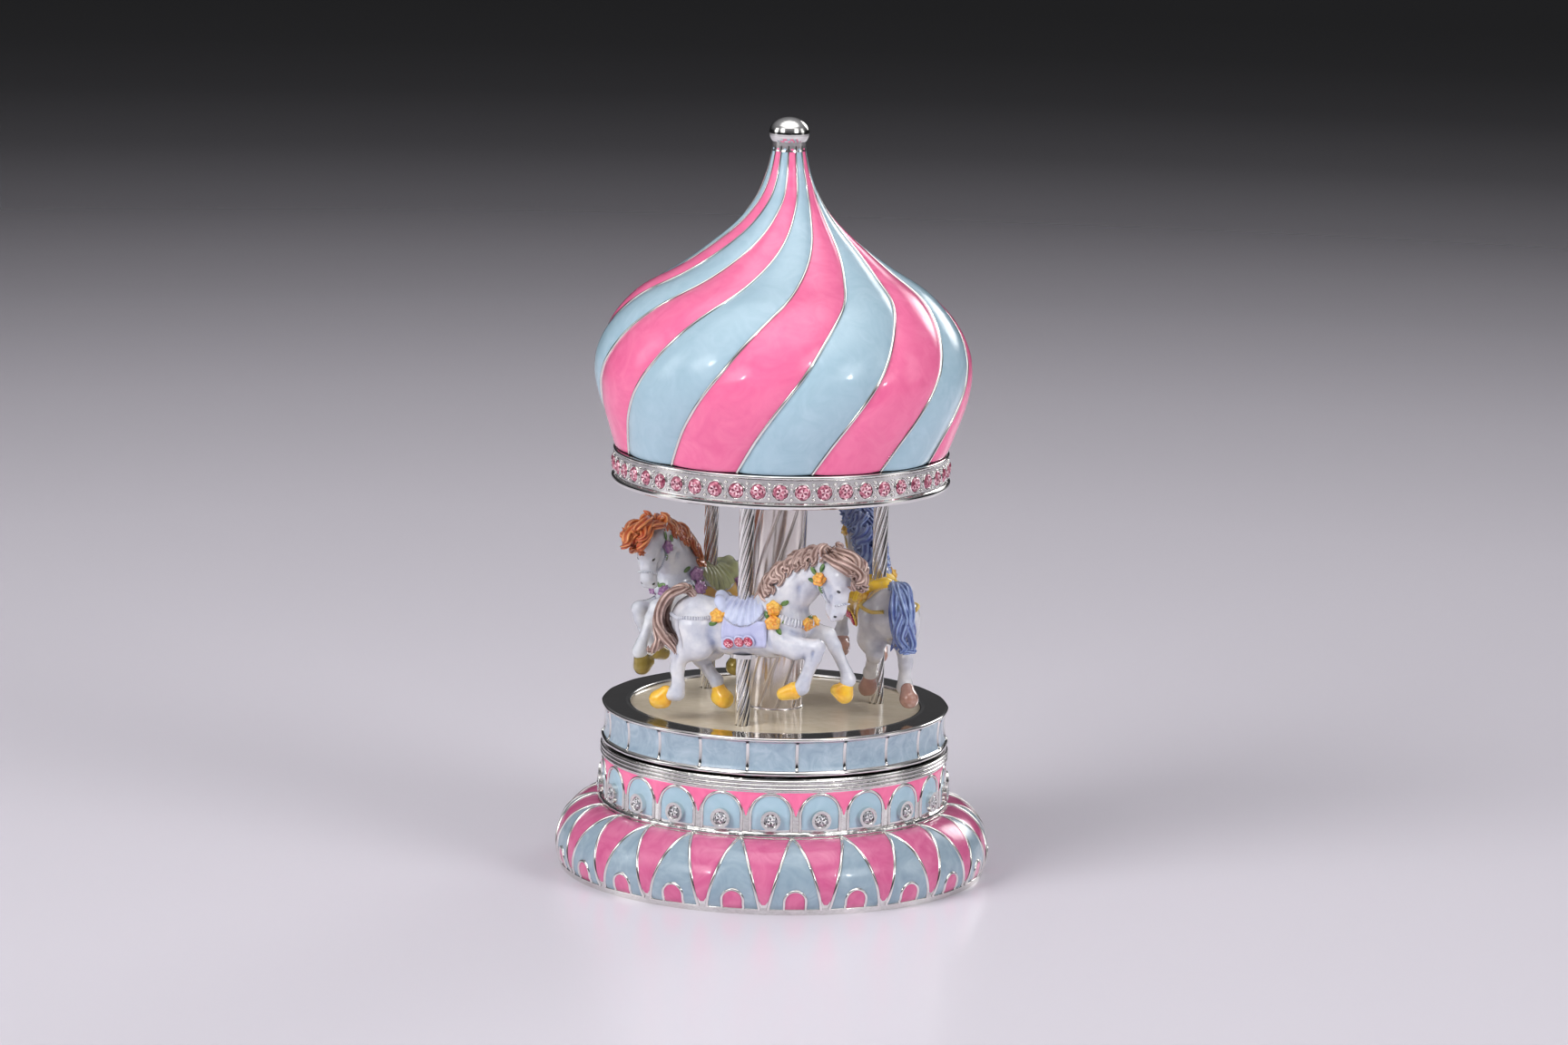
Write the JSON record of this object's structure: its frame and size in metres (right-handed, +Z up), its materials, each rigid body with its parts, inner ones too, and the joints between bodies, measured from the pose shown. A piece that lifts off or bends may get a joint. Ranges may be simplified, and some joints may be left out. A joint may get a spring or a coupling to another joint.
{
  "type": "carousel music box",
  "caption": "Enamelled wind-up carousel music box: a domed platform with three horses turns on a round base that holds the key, spring barrel, pinned cylinder and comb.",
  "frame": {"origin": "centre of the base's foot, on the surface it stands on", "axes": "+Z up along the turning axis; -Y is the front, where the first horse is seen from its side; +X is the viewer's right"},
  "size_m": [0.0858, 0.0858, 0.15],
  "materials": {
    "enamel_pink": "glossy pink cloisonne enamel between silver wires on cast metal",
    "enamel_blue": "glossy light blue enamel between silver wires on cast metal",
    "enamel_pearl": "glossy pale olive-cream enamel",
    "enamel_white": "pearly white enamel, hand painted",
    "silver_plate": "polished silver-tone plating",
    "clear_stone": "clear faceted crystal, foil backed",
    "pink_stone": "pale pink faceted crystal, foil backed",
    "steel": "zinc plated",
    "comb_steel": "ground spring steel",
    "spring_steel": "blued spring steel, oiled",
    "brass": "machined",
    "cylinder_brass": "turned, with steel pins",
    "fan_plastic": "moulded nylon"
  },
  "bodies": {
    "base": {"base_casting": "enamel_pink", "base_stones": "clear_stone", "base_plate": "silver_plate", "base_plate_screws": "steel", "movement_bedplate": "brass", "movement_screws": "steel", "comb": "comb_steel", "comb_screws": "steel", "inner_bracket": "steel", "outer_bracket": "steel", "governor_bracket": "brass", "bridge": "steel", "bridge_screws": "steel", "centre_post": "steel"},
    "carousel": {"turntable_hub": "steel", "turntable_gear": "brass", "platform_ring": "enamel_blue", "deck_disc": "enamel_pearl", "centre_column": "silver_plate", "pole_front": "silver_plate", "pole_right": "silver_plate", "pole_left": "silver_plate", "pole_collars": "silver_plate", "pole_nuts": "steel", "horse_front": "enamel_white", "horse_right": "enamel_white", "horse_left": "enamel_white", "horse_front_stones": "pink_stone", "horse_right_stones": "pink_stone", "horse_left_stones": "pink_stone", "ceiling_plate": "silver_plate", "stone_band": "silver_plate", "band_stones": "pink_stone", "dome_shell": "enamel_pink", "tie_rod": "steel", "finial": "silver_plate"},
    "barrel": {"barrel_cup": "brass", "barrel_cover": "brass", "mainspring": "spring_steel", "drive_gear": "brass"},
    "key": {"winding_arbor": "steel", "winding_key": "brass"},
    "cylinder": {"music_cylinder": "cylinder_brass", "cylinder_arbor": "steel", "cylinder_pinion": "brass", "cylinder_wheel": "brass"},
    "governor": {"governor_arbor": "steel", "governor_pinion": "brass", "worm_wheel": "brass"},
    "fan": {"governor_worm": "steel", "governor_fan": "fan_plastic"}
  },
  "joints": [
    {"name": "carousel_spin", "type": "hinge", "parent": "base", "child": "carousel", "pos_m": [0, 0, 0.0326], "axis": [0, 0, 1], "continuous": true},
    {"name": "barrel_spin", "type": "hinge", "parent": "base", "child": "barrel", "pos_m": [-0.013, 0, 0.013], "axis": [0, 0, 1], "continuous": true},
    {"name": "cylinder_spin", "type": "hinge", "parent": "base", "child": "cylinder", "pos_m": [0.0117, 0, 0.0194], "axis": [1, 0, 0], "continuous": true},
    {"name": "governor_spin", "type": "hinge", "parent": "base", "child": "governor", "pos_m": [0.0017, 0.008, 0.0194], "axis": [1, 0, 0], "continuous": true},
    {"name": "fan_spin", "type": "hinge", "parent": "base", "child": "fan", "pos_m": [-0.00125, 0.0125, 0.0194], "axis": [0, 0, 1], "continuous": true},
    {"name": "key_wind", "type": "hinge", "parent": "base", "child": "key", "pos_m": [-0.013, 0, 0.0045], "axis": [0, 0, 1], "range_deg": [0, 1710]}
  ],
  "couplings": [
    {"joint": "barrel_spin", "follows": "carousel_spin", "ratio": -0.66667},
    {"joint": "cylinder_spin", "follows": "carousel_spin", "ratio": -2},
    {"joint": "governor_spin", "follows": "carousel_spin", "ratio": 6},
    {"joint": "fan_spin", "follows": "carousel_spin", "ratio": -84}
  ]
}
